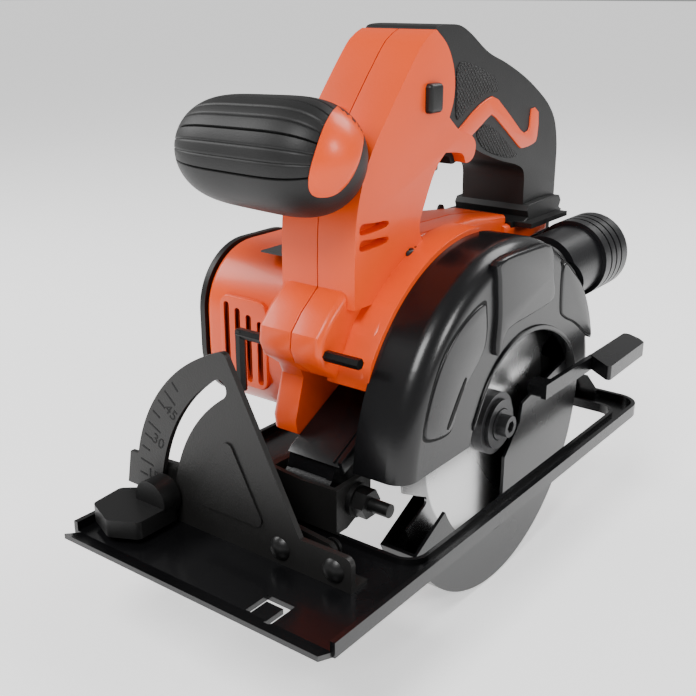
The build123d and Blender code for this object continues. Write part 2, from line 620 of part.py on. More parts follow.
def housing_halves():
    """Left and right clamshell halves with their openings cut."""
    inner_face = offset(body_face(), -WALL) - offset(loop_face(), WALL)
    shell = body_block(body_face() - loop_face(), 0) + barrel(0, BARREL_X)
    shell -= body_block(inner_face, WALL) + barrel(WALL, (-120, BODY_X[0] + WALL + 1))
    # room for the front arm and the gear case nose
    under = outline((-95, ramp(-95)), (-17, ramp(-17)), (-17, 30.2), (-60, 0), (-95, 0))
    shell -= side_plate(under, (ARM_X[0] - 0.2, -19))
    shell -= rod_x(23.6, (-29.9, -20), ARBOR) + side_plate(case_hull(2.2), (-54, CASE_X[1] + 0.1))
    shell -= hex_x(KEY_ACROSS + 2 * FIT, (-80, -20), KEY)
    shell -= box((-30, -20), (LOCK_OFF[0] - 5, LOCK_OFF[0] + 5), (LOCK_OFF[1] - 6, LOCK_OFF[1] + 6))
    shell -= box((-49.6, -34.4), (-9.2, 10.4), (142, 153))
    shell -= box((-31, -20), (LOCK_Y[0] - 0.4, LOCK_Y[1] + 0.4), (LOCK_Z[0] - 0.4, LOCK_Z[1] + 0.4))
    shell -= rod_x(2.52, (-62, -20), DEPTH_CLAMP)
    for k in range(4):
        x = -103.0 + 6.2 * k
        shell -= box((x, x + 3.0), (-66, -50), (44, 80))
    for z in (114.5, 121.0):
        slot = outline((-65, z), (-47, z + 2), (-47, z + 5), (-65, z + 3))
        shell -= side_plate(slot, (-30, -20)) + side_plate(slot, (-62, -55))
    far = 400
    right = shell & box((SEAM_X, far), (-far, far), (-far, far))
    left = shell & box((-far, SEAM_X), (-far, far), (-far, far))
    return left, right


SCREWS = ((-60, 100), (-40, 160), (30, 176), (85, 150), (52, 108))


def housing_screws():
    """Five screws that join the halves, their heads on the left side."""
    return [rod_x(2.6, (BODY_X[0] - 1.2, BODY_X[0]), p) for p in SCREWS]


def main_grip():
    """Soft rubber skin over the sides and top of the handle."""
    x0, x1 = BODY_X
    region = outline((-4, 220), (-4, 158), (10, 150), (66, 136), (73, 128), (73, 108), (120, 108), (120, 190))
    skin = (offset(body_face(), 1.2) & region) - loop_face()
    body = side_plate(skin, (x0 - 1.2, x1 + 1.2)) - side_plate(body_face(), (x0, x1))
    for place in SCREWS:
        body -= rod_x(3.4, (x0 - 2, x0 + 0.1), place)
    return body


def front_grip():
    """Bulb-shaped front grip with its cap in the right-hand end."""
    ball = Pos(*GRIP) * scale(Sphere(22.5), (38.0 / 22.5, 1.0, 1.0))
    ball -= side_plate(offset(body_face(), 0.1), (BODY_X[0] - 0.1, BODY_X[1] + 0.1))
    centre = (GRIP[1] - 6, GRIP[2])
    pocket = rod_x(9.0, (-36.0, -20.0), centre)
    cap = rod_x(9.0, (-36.0, -30.5), centre) - side_plate(offset(body_face(), 0.1), (-70, -20))
    return ball - pocket, cap


def battery_dock():
    """Battery dock: flange plate with a rear-facing pair of rails below it."""
    top = UNDERSIDE_Z - 0.2
    body = box((-68.4, -15.6), (63.5, 102.7), (top - 2.3, top))
    body += box((-68.4, -65.2), (63.5, 102.7), (88.0, top)) + box((-28.4, -25.2), (63.5, 102.7), (88.0, top))
    return body + box((-68.4, -25.2), (60.5, 63.5), (88.0, top))


def terminal_block():
    """Terminal block with two contact blades under the dock."""
    body = box((-56, -38), (63.5, 70), (91.5, 99.5))
    for x in (-52, -43):
        body += box((x, x + 1.2), (70, 88), (92.5, 98.0))
    return body


def hex_key():
    """L-shaped hexagonal key stored across the front, short arm on the motor side."""
    long_arm = hex_x(KEY_ACROSS, (-74.0, -10.5), KEY)
    bar = extrude(Plane.XY.offset(-25.5) * RegularPolygon(KEY_ACROSS / math.sqrt(3), 6), 27.0)
    return long_arm + Pos(-73.0, *KEY) * bar


def trigger():
    """Finger trigger that swings up into the handle."""
    front = ((8.6, 137), (6, 135), (1, 139), (-5, 144.5))
    profile = outline((-8, 148.5), (-7.4, 152.5), (7, 152.5), (8, 147), *front)
    return side_plate(rounded(profile, 0.9), (-49, -35)) - rod_x(1.5 + FIT, (-50, -34), TRIGGER_HINGE)


def depth_lever():
    """Depth clamp lever on the motor side, with a long finger blade."""
    y, z = DEPTH_CLAMP
    hub = rod_x(8.0, (-71.0, -61.0), DEPTH_CLAMP)
    blade_face = rounded(outline((y - 2, z - 7), (y + 38, z - 4), (y + 40, z + 6), (y, z + 7.5)), 2)
    return hub + side_plate(blade_face, (-69.5, -64.0)) - rod_x(2.5 + FIT, (-68.1, -60), DEPTH_CLAMP)


# ---------------------------------------------------------------- write every node
save("shoe", shoe())
save("bevel_quadrant", bevel_quadrant())
save("quadrant_rivets", *quadrant_rivets())
save("rear_bevel_ear", rear_bevel_ear())
save("bevel_hinge_pins", *bevel_hinge_pins())
save("bevel_bracket", bevel_bracket())
save("rear_bracket", rear_bracket())
save("depth_hinge_bolt", depth_hinge_bolt())
save("bevel_clamp_bolt", bevel_clamp_bolt())
save("bevel_lever", bevel_lever())
save("upper_guard", upper_guard())
save("dust_port", dust_port())
save("lower_guard", lower_guard())
save("guard_lever", guard_lever())
save("front_arm", front_arm())
save("blade", blade())
save("spindle", spindle())
flange_in, flange_out, bolt = blade_clamp()
save("inner_flange", flange_in)
save("outer_flange", flange_out)
save("blade_bolt", bolt)
save("spindle_gear", spindle_gear())
save("layshaft_gears", layshaft())
save("motor_shaft", rotor())
save("rotor_core", rotor_core())
save("commutator", commutator())
save("cooling_fan", fan())
save("gear_case", gear_case())
save("gear_cover", gear_cover())
for name, ring in bearings().items():
    save(name, ring)
save("motor_can", motor_can())
save("motor_magnets", *motor_magnets())
save("brush_holder", brush_holder())
save("guard_retaining_ring", tube_x(14.5, NOSE_R, (-8.4, -7.3), ARBOR) & box((-9, 0), (-20, 20), (0, 60)))
save("guard_spring", tube_x(20.5, 18.5, (-19.5, -12.5), ARBOR))
half_left, half_right = housing_halves()
save("housing_left", half_left)
save("housing_right", half_right)
save("housing_screws", *housing_screws())
save("main_grip", main_grip())
grip, grip_cap = front_grip()
save("front_grip", grip)
save("front_grip_cap", grip_cap)
save("motor_end_cap", barrel(0, (BARREL_X[0] - 3, BARREL_X[0])))
save("label_plate", box((-90, -64), (-50, -30), (BARREL_Z[1], BARREL_Z[1] + 0.8)))
save("battery_dock", battery_dock())
save("terminal_block", terminal_block())
save("switch_body", box((-50, -34), (14, 38), (149, 168)))
save("trigger", trigger())
save("trigger_pin", rod_x(1.5, (-57.5, -26.5), TRIGGER_HINGE))
save("lock_off_button", box((-33, -21.0), (-21.6, -12.4), (164.4, 175.6)))
save("spindle_lock_button", box((-34, -22), LOCK_Y, LOCK_Z))
save("hex_key", hex_key())
save("depth_clamp_bolt", rod_x(2.5, (-68, -24.0), DEPTH_CLAMP) + rod_x(5.0, (-24.0, -22.6), DEPTH_CLAMP))
save("depth_lever", depth_lever())
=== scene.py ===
import json
import math

import bmesh
import bpy
from mathutils import Matrix, Vector


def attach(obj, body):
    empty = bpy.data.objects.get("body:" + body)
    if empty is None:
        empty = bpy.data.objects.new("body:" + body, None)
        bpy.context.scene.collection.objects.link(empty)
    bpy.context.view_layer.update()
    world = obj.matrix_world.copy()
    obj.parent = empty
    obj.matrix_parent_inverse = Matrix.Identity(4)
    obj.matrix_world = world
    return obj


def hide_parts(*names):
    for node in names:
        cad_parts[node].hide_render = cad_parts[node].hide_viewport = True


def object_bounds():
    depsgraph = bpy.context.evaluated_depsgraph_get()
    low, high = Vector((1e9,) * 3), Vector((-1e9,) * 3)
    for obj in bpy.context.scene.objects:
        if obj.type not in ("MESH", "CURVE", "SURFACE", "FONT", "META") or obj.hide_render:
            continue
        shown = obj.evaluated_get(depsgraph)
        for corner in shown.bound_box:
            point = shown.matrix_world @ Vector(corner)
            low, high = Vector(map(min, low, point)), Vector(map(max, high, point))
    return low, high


bl_info = {
    "name": "Circular saw",
    "version": (1, 0, 0),
    "blender": (4, 5, 0),
    "location": "View3D > Sidebar > Circular saw",
    "description": "Builds the looks of a battery circular saw round its fixed frame",
    "category": "Add Mesh",
}

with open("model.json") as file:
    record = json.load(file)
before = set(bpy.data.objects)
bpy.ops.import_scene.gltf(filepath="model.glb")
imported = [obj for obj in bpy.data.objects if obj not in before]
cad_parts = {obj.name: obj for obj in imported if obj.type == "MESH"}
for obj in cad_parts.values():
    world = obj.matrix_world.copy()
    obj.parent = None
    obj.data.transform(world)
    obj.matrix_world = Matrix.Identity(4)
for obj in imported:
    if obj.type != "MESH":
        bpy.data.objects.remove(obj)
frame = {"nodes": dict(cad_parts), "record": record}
cad_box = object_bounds()

MM = 0.001
ARBOR_Z = 27.0
SEAM_X = -42.0          # where the two housing halves meet
SEAM_GAP = 0.25
RIGHT_X = -24.0         # right-hand face of the neck and handle
LEFT_X = -60.0
LOW_RIGHT_X = -27.0     # right-hand face below the handle, clear of the depth strut
SHARP_ANGLE = 32.0      # edges past this many degrees stay crisp
CREST_R = 87.2          # radius about the arbor of the gear shoulder's crest
GREY_BAND = (0.0515, 0.0525)    # where the blade turns greyer, in metres from its centre
VENT_XS = (-103.0, -96.4, -89.8, -83.2)
VENT_WIDE = 3.2
FLOOR_GAP = 0.0005      # the floor lies this far under the saw, in metres
CAMERA_SPOT = (0.2025, -0.3714, 0.2109)
CAMERA_TURN = (70.4, 0, 37.2)
CAMERA_LENS = 51.75


# ---------------------------------------------------------------- settings
class SawColours(bpy.types.PropertyGroup):
    shell: bpy.props.FloatVectorProperty(
        name="Housing", description="Colour of the moulded housing", subtype="COLOR", size=3,
        default=(0.80, 0.07, 0.002))
    rubber: bpy.props.FloatVectorProperty(
        name="Rubber", description="Colour of the soft grips", subtype="COLOR", size=3,
        default=(0.008, 0.008, 0.008))
    guard: bpy.props.FloatVectorProperty(
        name="Guards", description="Colour of the gloss black guards", subtype="COLOR", size=3,
        default=(0.0045, 0.0045, 0.005))
    sheet: bpy.props.FloatVectorProperty(
        name="Brackets", description="Colour of the coated bracket sheet", subtype="COLOR", size=3,
        default=(0.018, 0.0175, 0.017))


class SawSizes(bpy.types.PropertyGroup):
    neck_round: bpy.props.FloatProperty(
        name="Neck rounding", description="Edge radius of the neck", unit="LENGTH", default=0.0095)
    grip_round: bpy.props.FloatProperty(
        name="Grip rounding", description="Edge radius of the main grip", unit="LENGTH", default=0.0115)
    groove_depth: bpy.props.FloatProperty(
        name="Groove depth", description="Depth of the front grip's grooves", unit="LENGTH", default=0.0011)


# ---------------------------------------------------------------- shader groups
def node_group(name, inputs, outputs):
    """A new shader group with plain float, colour or vector sockets."""
    group = bpy.data.node_groups.new(name, "ShaderNodeTree")
    for label, kind, value in inputs:
        item = group.interface.new_socket(label, in_out="INPUT", socket_type=kind)
        if value is not None:
            item.default_value = value
    for label, kind in outputs:
        group.interface.new_socket(label, in_out="OUTPUT", socket_type=kind)
    return group, group.nodes.new("NodeGroupInput"), group.nodes.new("NodeGroupOutput")


def math_node(tree, operation, a, b=None):
    """A Math node fed by sockets or plain numbers."""
    node = tree.nodes.new("ShaderNodeMath")
    node.operation = operation
    for index, value in enumerate((a, b)):
        if value is None:
            continue
        if isinstance(value, (int, float)):
            node.inputs[index].default_value = value
        else:
            tree.links.new(value, node.inputs[index])
    return node.outputs[0]


def moulded_grain_group():
    """Fine mould grain with slow tone changes: tone, roughness change and height."""
    group, source, sink = node_group(
        "moulded_grain",
        [("Scale", "NodeSocketFloat", 900.0)],
        [("Tone", "NodeSocketFloat"), ("Wear", "NodeSocketFloat"), ("Height", "NodeSocketFloat")])
    coordinates = group.nodes.new("ShaderNodeTexCoord")
    fine = group.nodes.new("ShaderNodeTexNoise")
    slow = group.nodes.new("ShaderNodeTexNoise")
    fine.inputs["Detail"].default_value = 3.0
    slow.inputs["Scale"].default_value = 18.0
    slow.inputs["Detail"].default_value = 4.0
    group.links.new(coordinates.outputs["Object"], fine.inputs["Vector"])
    group.links.new(coordinates.outputs["Object"], slow.inputs["Vector"])
    group.links.new(source.outputs["Scale"], fine.inputs["Scale"])
    group.links.new(slow.outputs["Fac"], sink.inputs["Tone"])
    group.links.new(math_node(group, "SUBTRACT", slow.outputs["Fac"], 0.5), sink.inputs["Wear"])
    group.links.new(fine.outputs["Fac"], sink.inputs["Height"])
    return group


def tread_group():
    """Crossed fine ridges, as on a soft grip: one height value."""
    group, source, sink = node_group(
        "grip_tread", [("Pitch", "NodeSocketFloat", 260.0)], [("Height", "NodeSocketFloat")])
    coordinates = group.nodes.new("ShaderNodeTexCoord")
    parts = group.nodes.new("ShaderNodeSeparateXYZ")
    group.links.new(coordinates.outputs["Object"], parts.inputs[0])
    heights = []
    for sign in (1.0, -1.0):
        side = math_node(group, "MULTIPLY", parts.outputs["Z"], sign)
        along = math_node(group, "ADD", parts.outputs["Y"], side)
        turned = math_node(group, "MULTIPLY", along, source.outputs["Pitch"])
        ridge = math_node(group, "SINE", math_node(group, "MULTIPLY", turned, 6.2832))
        heights.append(math_node(group, "ABSOLUTE", ridge))
    group.links.new(math_node(group, "MULTIPLY", heights[0], heights[1]), sink.inputs["Height"])
    return group


GRAIN = moulded_grain_group()
TREAD = tread_group()


def add_grain(tree, shader, colour, rough, spread, scale, depth, tone=0.16):
    """Feed a shader's colour, roughness and normal from the grain group."""
    grain = tree.nodes.new("ShaderNodeGroup")
    grain.node_tree = GRAIN
    grain.inputs["Scale"].default_value = scale
    mix = tree.nodes.new("ShaderNodeMix")
    mix.data_type = "RGBA"
    mix.inputs["A"].default_value = (*[c * (1 - tone) for c in colour], 1)
    mix.inputs["B"].default_value = (*[min(1, c * (1 + tone)) for c in colour], 1)
    tree.links.new(grain.outputs["Tone"], mix.inputs["Factor"])
    tree.links.new(mix.outputs["Result"], shader.inputs["Base Color"])
    change = math_node(tree, "MULTIPLY", grain.outputs["Wear"], spread)
    tree.links.new(math_node(tree, "ADD", change, rough), shader.inputs["Roughness"])
    bump = tree.nodes.new("ShaderNodeBump")
    bump.inputs["Strength"].default_value = 0.35
    bump.inputs["Distance"].default_value = depth
    tree.links.new(grain.outputs["Height"], bump.inputs["Height"])
    tree.links.new(bump.outputs["Normal"], shader.inputs["Normal"])
    return bump, mix


def material(name, colour, rough, metal=0.0, coat=0.0, spread=0.15, scale=900.0, depth=0.0002, tone=0.16):
    """A named Principled material with the shared grain."""
    mat = bpy.data.materials.new(name)
    mat.use_nodes = True
    tree = mat.node_tree
    shader = tree.nodes["Principled BSDF"]
    shader.inputs["Metallic"].default_value = metal
    shader.inputs["Coat Weight"].default_value = coat
    shader.inputs["Coat Roughness"].default_value = 0.12
    shader.inputs["Specular IOR Level"].default_value = 0.36
    add_grain(tree, shader, colour, rough, spread, scale, depth, tone)
    return mat


def treaded(mat, pitch, depth):
    """Put the crossed grip ridges under a material's grain."""
    tree = mat.node_tree
    bump = next(n for n in tree.nodes if n.type == "BUMP")
    tread = tree.nodes.new("ShaderNodeGroup")
    tread.node_tree = TREAD
    tread.inputs["Pitch"].default_value = pitch
    under = tree.nodes.new("ShaderNodeBump")
    under.inputs["Distance"].default_value = depth
    tree.links.new(tread.outputs["Height"], under.inputs["Height"])
    tree.links.new(under.outputs["Normal"], bump.inputs["Normal"])
    return mat


def brushed_blade():
    """Bright blade steel: circular brushing, a greyer band towards the teeth."""
    mat = material("blade_steel", (0.63, 0.63, 0.63), 0.27, metal=1.0, spread=0.2, scale=700.0, depth=0.00003)
    tree = mat.node_tree
    shader = tree.nodes["Principled BSDF"]
    mix = next(n for n in tree.nodes if n.type == "MIX")
    bump = next(n for n in tree.nodes if n.type == "BUMP")
    coordinates = tree.nodes.new("ShaderNodeTexCoord")
    shift = tree.nodes.new("ShaderNodeVectorMath")
    shift.inputs[1].default_value = (0, 0, ARBOR_Z * MM)
    shift.operation = "SUBTRACT"
    flat = tree.nodes.new("ShaderNodeVectorMath")
    flat.operation = "MULTIPLY"
    flat.inputs[1].default_value = (0, 1, 1)
    size = tree.nodes.new("ShaderNodeVectorMath")
    size.operation = "LENGTH"
    tree.links.new(coordinates.outputs["Object"], shift.inputs[0])
    tree.links.new(shift.outputs[0], flat.inputs[0])
    tree.links.new(flat.outputs[0], size.inputs[0])
    rings = tree.nodes.new("ShaderNodeTexNoise")
    rings.noise_dimensions = "1D"
    rings.inputs["Detail"].default_value = 6.0
    tree.links.new(math_node(tree, "MULTIPLY", size.outputs["Value"], 2600.0), rings.inputs["W"])
    rings.inputs["Scale"].default_value = 1.0
    tree.links.new(rings.outputs["Fac"], bump.inputs["Height"])
    band = tree.nodes.new("ShaderNodeMapRange")
    band.inputs["From Min"].default_value = GREY_BAND[0]
    band.inputs["From Max"].default_value = GREY_BAND[1]
    tree.links.new(size.outputs["Value"], band.inputs["Value"])
    outer = tree.nodes.new("ShaderNodeMix")
    outer.data_type = "RGBA"
    outer.inputs["B"].default_value = (0.27, 0.27, 0.27, 1)
    tree.links.new(band.outputs["Result"], outer.inputs["Factor"])
    tree.links.new(mix.outputs["Result"], outer.inputs["A"])
    tree.links.new(outer.outputs["Result"], shader.inputs["Base Color"])
    return mat


def finishes(colours):
    """Every finish of the saw by name."""
    shell = tuple(colours.shell)
    rubber = tuple(colours.rubber)
    guard = tuple(colours.guard)
    sheet = tuple(colours.sheet)
    return {
        "housing_orange": material("housing_orange", shell, 0.36, spread=0.14, coat=0.12,
                                   depth=0.00012, tone=0.06),
        "grip_rubber": material("grip_rubber", rubber, 0.5, spread=0.2, scale=1600.0),
        "grip_tread": treaded(material("grip_tread", rubber, 0.55, scale=1600.0), 210.0, 0.0009),
        "guard_black": material("guard_black", guard, 0.26, coat=0.12, spread=0.12, scale=500.0,
                                depth=0.00008),
        "shoe_steel": material("shoe_steel", guard, 0.26, coat=0.1, spread=0.16, scale=600.0, depth=0.0001),
        "quadrant_steel": material("quadrant_steel", sheet, 0.42, metal=0.25, spread=0.2, scale=1100.0),
        "bracket_steel": material("bracket_steel", sheet, 0.38, metal=0.3, spread=0.2, scale=1100.0),
        "fastener_steel": material("fastener_steel", (0.03, 0.03, 0.03), 0.36, metal=0.8, spread=0.2),
        "lever_plastic": material("lever_plastic", (0.006, 0.006, 0.006), 0.42, spread=0.2, scale=1500.0),
        "port_plastic": material("port_plastic", (0.006, 0.006, 0.007), 0.33, spread=0.18, scale=800.0),
        "blade_steel": brushed_blade(),
        "flange_steel": material("flange_steel", (0.05, 0.05, 0.052), 0.36, metal=0.7, spread=0.25,
                                 scale=700.0),
        "case_alloy": material("case_alloy", (0.4, 0.4, 0.42), 0.48, metal=0.9, spread=0.2, scale=400.0,
                               depth=0.0004),
        "motor_steel": material("motor_steel", (0.35, 0.36, 0.38), 0.3, metal=1.0),
        "copper": material("copper", (0.7, 0.32, 0.14), 0.3, metal=1.0),
        "inner_plastic": material("inner_plastic", (0.03, 0.03, 0.033), 0.55),
        "black_plastic": material("black_plastic", (0.006, 0.006, 0.006), 0.45, scale=1400.0),
        "label_black": material("label_black", (0.006, 0.006, 0.006), 0.3, coat=0.1, tone=0.3),
        "key_steel": material("key_steel", (0.02, 0.02, 0.02), 0.32, metal=0.8, spread=0.2),
        # near-black matte for dark gaps; on the guard it also gives the painted groove shade round the panels
        "dark_gap": material("dark_gap", (0.004, 0.004, 0.004), 0.8),
        "scale_ink": material("scale_ink", (0.002, 0.002, 0.002), 0.7),
    }


FINISH = {}


# ---------------------------------------------------------------- mesh helpers
def smooth_line(points, steps=5, closed=False):
    """Points along a Catmull-Rom curve through the given ones."""
    count = len(points)
    line = []
    for i in range(count if closed else count - 1):
        if closed:
            a, b, c, d = (points[(i + k) % count] for k in (-1, 0, 1, 2))
        else:
            a, b, c, d = (points[min(max(i + k, 0), count - 1)] for k in (-1, 0, 1, 2))
        for s in range(steps):
            t = s / steps
            line.append(tuple(
                0.5 * (2 * q + (r - p) * t + (2 * p - 5 * q + 4 * r - w) * t * t
                       + (3 * q - p - 3 * r + w) * t ** 3)
                for p, q, r, w in zip(a, b, c, d)))
    if not closed:
        line.append(tuple(points[-1]))
    return line


def rounded_box(low, high, radius, steps=8):
    """Outline of a rectangle with round corners."""
    points = []
    for k, (x, y) in enumerate(((high[0], high[1]), (low[0], high[1]), (low[0], low[1]), (high[0], low[1]))):
        cx = x - radius if x == high[0] else x + radius
        cy = y - radius if y == high[1] else y + radius
        for s in range(steps + 1):
            a = math.radians(90 * k + 90 * s / steps)
            points.append((cx + radius * math.cos(a), cy + radius * math.sin(a)))
    return points


def place(point, level, axis):
    """A point of an outline at a level along an axis, in metres."""
    u, v = point
    spot = {"X": (level, u, v), "Y": (u, level, v), "Z": (u, v, level)}[axis]
    return Vector(spot) * MM


def add_slab(bm, points, low, high, axis="X", round_low=0.0, round_high=0.0, segments=6, crisp=None):
    """Extrude an outline between two levels and round its caps' edges, but for those crisp(u, v) picks."""
    face = bm.faces.new([bm.verts.new(place(p, low, axis)) for p in points])
    low_edges = list(face.edges)
    out = bmesh.ops.extrude_face_region(bm, geom=[face])["geom"]
    top = next(f for f in out if isinstance(f, bmesh.types.BMFace))
    bmesh.ops.translate(bm, verts=list(top.verts), vec=place((0, 0), high - low, axis))
    high_edges = list(top.edges)
    keep = {"X": (1, 2), "Y": (0, 2), "Z": (0, 1)}[axis]
    for edges, radius in ((low_edges, round_low), (high_edges, round_high)):
        if crisp:
            middles = {e: (e.verts[0].co + e.verts[1].co) / 2 / MM for e in edges}
            edges = [e for e, m in middles.items() if not crisp(m[keep[0]], m[keep[1]])]
        if radius:
            bmesh.ops.bevel(bm, geom=edges, offset=radius * MM, offset_type="OFFSET", segments=segments,
                            profile=0.5, affect="EDGES", material=-1, clamp_overlap=True)


def shade(mesh, sharp):
    """Shade a mesh smooth, apart from edges sharper than an angle in degrees."""
    for polygon in mesh.polygons:
        polygon.use_smooth = True
    mesh.set_sharp_from_angle(angle=math.radians(sharp))


def finish_piece(name, bm, look, body, replaces=(), sharp=SHARP_ANGLE):
    """Make an object of a mesh, give it its finish, and let it ride its body."""
    bmesh.ops.recalc_face_normals(bm, faces=list(bm.faces))
    mesh = bpy.data.meshes.new(name)
    bm.to_mesh(mesh)
    bm.free()
    shade(mesh, sharp)
    piece = bpy.data.objects.new(name, mesh)
    bpy.context.scene.collection.objects.link(piece)
    piece.data.materials.append(FINISH[look])
    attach(piece, body)
    if replaces:
        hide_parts(*replaces)
    return piece


def cut_away(piece, *cutters):
    """Subtract closed meshes from a piece and keep the result in its mesh."""
    for bm in cutters:
        bmesh.ops.recalc_face_normals(bm, faces=list(bm.faces))
        mesh = bpy.data.meshes.new("cutter")
        bm.to_mesh(mesh)
        bm.free()
        tool = bpy.data.objects.new("cutter", mesh)
        bpy.context.scene.collection.objects.link(tool)
        step = piece.modifiers.new("cut", "BOOLEAN")
        step.operation = "DIFFERENCE"
        step.solver = "EXACT"
        step.object = tool
        bpy.context.view_layer.update()
        ready = piece.evaluated_get(bpy.context.evaluated_depsgraph_get())
        result = bpy.data.meshes.new_from_object(ready)
        piece.modifiers.clear()
        piece.data = result
        bpy.data.objects.remove(tool)
    shade(piece.data, SHARP_ANGLE)


def slab_mesh(points, low, high, axis="X", **rounding):
    """One slab in a mesh of its own."""
    bm = bmesh.new()
    add_slab(bm, points, low, high, axis, **rounding)
    return bm


def vent_cutters(near):
    """Closed meshes of the motor's cooling slots, reaching back to a level in Y."""
    return [slab_mesh(rounded_box((x, 44), (x + VENT_WIDE, 80 - 2 * k), 1.5), -64, near, "Y")
            for k, x in enumerate(VENT_XS)]


# ---------------------------------------------------------------- outlines in Y and Z
NECK_FRONT = [(-69.5, 100), (-69.5, 112), (-68, 130), (-61, 149), (-47, 167), (-28, 188.5), (-21, 194),
              (-15, 196.6)]
NECK_BACK = [(-15, 196.6), (-7, 191), (-2, 184), (0.5, 176), (0, 168), (-3, 161)]
NECK_UNDER = [(-3, 161), (6, 154.5), (16, 151.5), (20, 147), (18, 141.5), (12, 140), (8.5, 144.5),
              (-5, 146.5)]
NECK_REAR = [(-5, 146.5), (-13, 140), (-20.5, 127), (-24, 119), (-22, 112.5), (-15, 108)]
NECK = (smooth_line(NECK_FRONT) + smooth_line(NECK_BACK, 4)[1:] + smooth_line(NECK_UNDER, 3)[1:]
        + smooth_line(NECK_REAR, 3)[1:] + [(-15, 92), (-69.5, 92)])
LOWER = [(-69.5, 99), (-80, 91), (-86.5, 84), (-87.5, 77), (-85, 71), (-76, 64.5), (-74, 60), (-79.5, 42),
         (-78.5, 36), (-74, 33.6), (-60, 31), (-34, 26)]
BELLY_R = 21.2          # radius about the arbor of the housing's round belly
BELLY = [(BELLY_R * math.sin(math.radians(a)), ARBOR_Z - BELLY_R * math.cos(math.radians(a)))
         for a in range(-60, 80, 10)]
LOWER_REAR = [(24, 30), (42, 32), (47, 70), (60, 104.6), (60, 108), (30, 111.5), (-15, 112.5),
              (-30, 112.5)]
GRIP_TOP = [(-15, 193.5), (-13, 197.6), (-3, 198.4), (6, 197.6), (15, 194), (30, 186), (47, 180.5),
            (65, 173.5), (80, 166), (92, 158.5), (100, 150), (104, 138), (104.5, 124), (104.5, 106)]
GRIP_UNDER = [(71, 106), (70.5, 118), (69.5, 128), (62, 132.5), (46, 136.5), (30, 141.5), (18, 146),
              (6, 149), (-3, 153), (-3.5, 161), (-0.5, 168), (0, 176), (-2.5, 184), (-7.5, 190.5)]
GRIP = smooth_line(GRIP_TOP) + smooth_line(GRIP_UNDER)
STRIPE = [(-8, 162), (1, 155), (7, 155.5), (17, 161), (30, 166), (40, 165), (63, 149), (69, 147.5),
          (72, 149.5), (73, 158), (80.5, 156), (80.5, 144), (77, 141), (66, 140), (60, 142.5), (38, 157),
          (31, 157.5), (12, 148.5), (3, 149.5)]
TREAD_PATCH = [(6, 183), (34, 176), (40, 169), (30, 168.5), (14, 163), (5, 159), (3.5, 168)]
TREAD_LOW = [(22, 152), (34, 154), (56, 141), (61, 137), (50, 137.5), (30, 143.5)]
FLARE = [(-75, 62), (-75.5, 68), (-73, 74), (-66, 84.5), (-56, 94), (-46, 98.5), (-30, 99), (4, 99),
         (4, 60), (-50, 60)]
PANEL_FRONT = [(-31, 92), (-46, 87), (-58, 78), (-66.5, 65), (-71.5, 51), (-69, 46), (-56, 43.5),
               (-50, 46), (-45, 57), (-28, 72), (-27.5, 88)]
PANEL_REAR = [(43, 93), (54, 87), (66, 77), (75, 64), (80.5, 50), (76, 50), (60, 60.5), (47, 67),
              (43, 73)]
PAD = [(-21, 108), (2, 108.5), (25, 106), (29, 92), (31, 80), (10, 77.5), (-11, 76), (-16.5, 67),
       (-20, 69), (-19, 84), (-21, 100)]
ARCH = [(-34, 40), (-24, 55.5), (-12, 65), (6, 70.5), (25, 69), (44, 61), (58, 49), (66, 33)]


# ---------------------------------------------------------------- pieces
class SAW_OT_finishes(bpy.types.Operator):
    """Make every finish and give the frame's own parts theirs"""
    bl_idname = "saw.finishes"
    bl_label = "Finishes"

    def execute(self, context):
        FINISH.update(finishes(context.scene.saw_colours))
        for entry in frame["record"]["subparts"]:
            part = frame["nodes"][entry["node"]]
            part.data.materials.clear()
            part.data.materials.append(FINISH[entry["material_slot"]])
            for polygon in part.data.polygons:
                polygon.material_index = 0
        return {"FINISHED"}


